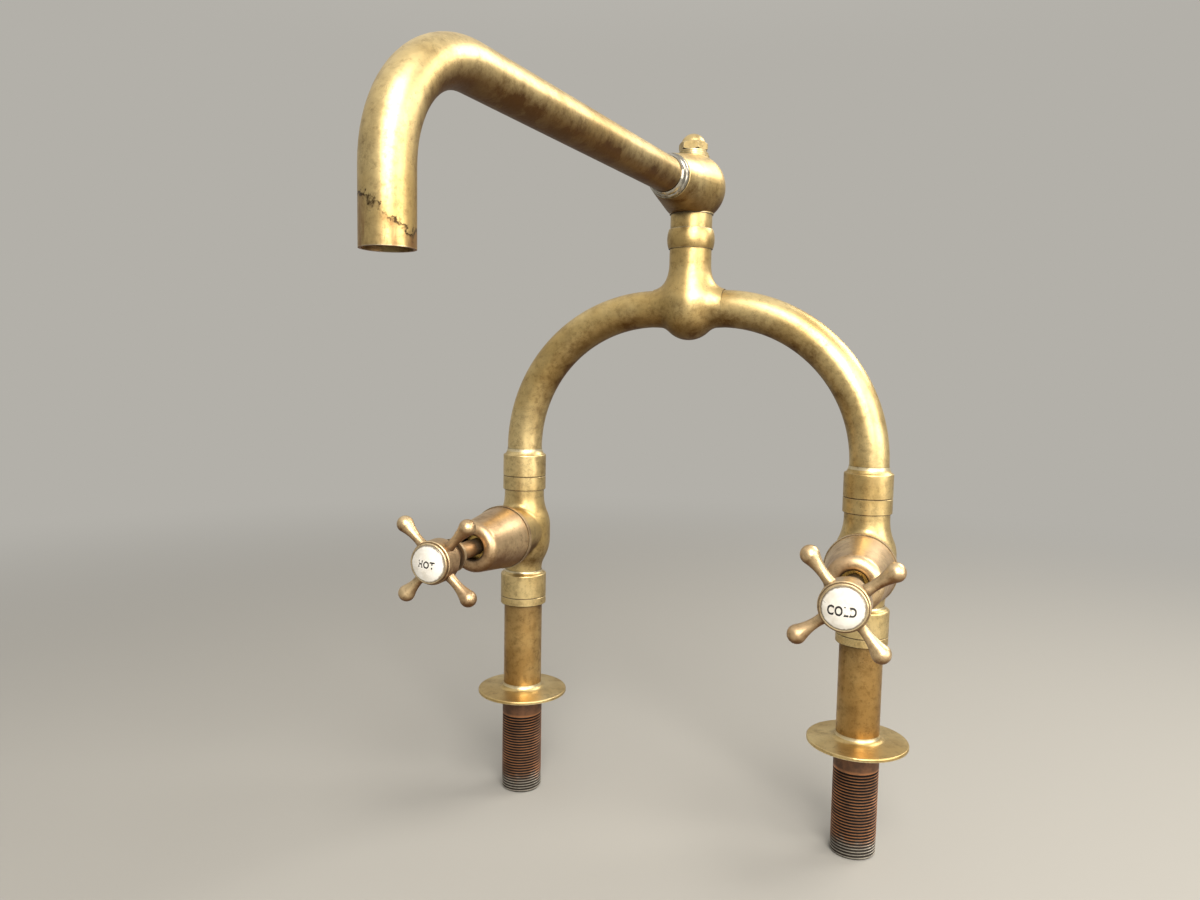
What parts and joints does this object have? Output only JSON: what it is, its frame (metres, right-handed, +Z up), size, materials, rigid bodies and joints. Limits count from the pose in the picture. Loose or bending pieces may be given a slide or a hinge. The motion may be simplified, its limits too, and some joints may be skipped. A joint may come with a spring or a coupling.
{
  "type": "bridge kitchen faucet",
  "caption": "Deck-mounted bridge kitchen tap: threaded legs with flanges, cross-handle compression valves, an arched bridge tube, and a swivelling spout with a down-turned outlet.",
  "frame": {"origin": "on the deck plane (underside of the flanges), midway between the two leg axes", "axes": "+X along the bridge from the hot to the cold leg, -Y towards the handles and the spout, +Z up"},
  "size_m": [0.279, 0.3129, 0.4268],
  "materials": {
    "aged_brass": "unlacquered, rubbed, with brown patina",
    "handle_brass": "unlacquered, rubbed, slightly rosier",
    "inner_brass": "machined",
    "collar_nickel": "polished nickel plate",
    "disc_ceramic": "glazed white ceramic",
    "fibre": "matte fibre",
    "packing": "matte",
    "rubber": "matte"
  },
  "bodies": {
    "bridge_frame": {"hot_leg": "aged_brass", "hot_deck_flange": "aged_brass", "hot_leg_lock_ring": "aged_brass", "hot_leg_nut": "aged_brass", "hot_leg_washer": "fibre", "hot_valve_body": "aged_brass", "hot_headwork": "inner_brass", "hot_headwork_washer": "fibre", "hot_gland_packing": "packing", "hot_gland_nut": "inner_brass", "hot_bonnet": "handle_brass", "hot_arch_ring": "aged_brass", "hot_arch_washer": "fibre", "hot_arch_nut": "aged_brass", "hot_arch_tube": "aged_brass", "cold_leg": "aged_brass", "cold_deck_flange": "aged_brass", "cold_leg_lock_ring": "aged_brass", "cold_leg_nut": "aged_brass", "cold_leg_washer": "fibre", "cold_valve_body": "aged_brass", "cold_headwork": "inner_brass", "cold_headwork_washer": "fibre", "cold_gland_packing": "packing", "cold_gland_nut": "inner_brass", "cold_bonnet": "handle_brass", "cold_arch_ring": "aged_brass", "cold_arch_washer": "fibre", "cold_arch_nut": "aged_brass", "cold_arch_tube": "aged_brass", "bridge_tee": "aged_brass", "swivel_thrust_washer": "packing", "swivel_nut": "aged_brass"},
    "hot_valve_lift": {"hot_jumper": "inner_brass", "hot_seat_washer": "rubber", "hot_jumper_nut": "inner_brass"},
    "hot_handle_group": {"hot_spindle": "handle_brass", "hot_handle": "handle_brass", "hot_handle_screw": "inner_brass", "hot_index_cap": "handle_brass", "hot_index_disc": "disc_ceramic"},
    "cold_valve_lift": {"cold_jumper": "inner_brass", "cold_seat_washer": "rubber", "cold_jumper_nut": "inner_brass"},
    "cold_handle_group": {"cold_spindle": "handle_brass", "cold_handle": "handle_brass", "cold_handle_screw": "inner_brass", "cold_index_cap": "handle_brass", "cold_index_disc": "disc_ceramic"},
    "swivel_spout": {"swivel_stem": "aged_brass", "swivel_lower_seal": "rubber", "swivel_upper_seal": "rubber", "spout_globe": "aged_brass", "finial_washer": "aged_brass", "finial_nut": "aged_brass", "spout_seal": "rubber", "spout_collar": "collar_nickel", "spout_tube": "aged_brass"}
  },
  "joints": [
    {"name": "spout_swivel", "type": "hinge", "parent": "bridge_frame", "child": "swivel_spout", "pos_m": [0, 0, 0.3], "axis": [0, 0, 1], "continuous": true},
    {"name": "hot_spindle_rise", "type": "slide", "parent": "bridge_frame", "child": "hot_valve_lift", "axis": [0, -1, 0], "range_m": [0, 0.00508]},
    {"name": "hot_handle_turn", "type": "hinge", "parent": "hot_valve_lift", "child": "hot_handle_group", "pos_m": [-0.11, -0.1, 0.1103], "axis": [0, -1, 0], "range_deg": [0, 720]},
    {"name": "cold_spindle_rise", "type": "slide", "parent": "bridge_frame", "child": "cold_valve_lift", "axis": [0, -1, 0], "range_m": [0, 0.00508]},
    {"name": "cold_handle_turn", "type": "hinge", "parent": "cold_valve_lift", "child": "cold_handle_group", "pos_m": [0.11, -0.1, 0.1103], "axis": [0, -1, 0], "range_deg": [0, 720]}
  ],
  "couplings": [
    {"joint": "hot_handle_turn", "follows": "hot_spindle_rise", "rad_per_m": 2473.7},
    {"joint": "cold_handle_turn", "follows": "cold_spindle_rise", "rad_per_m": 2473.7}
  ]
}
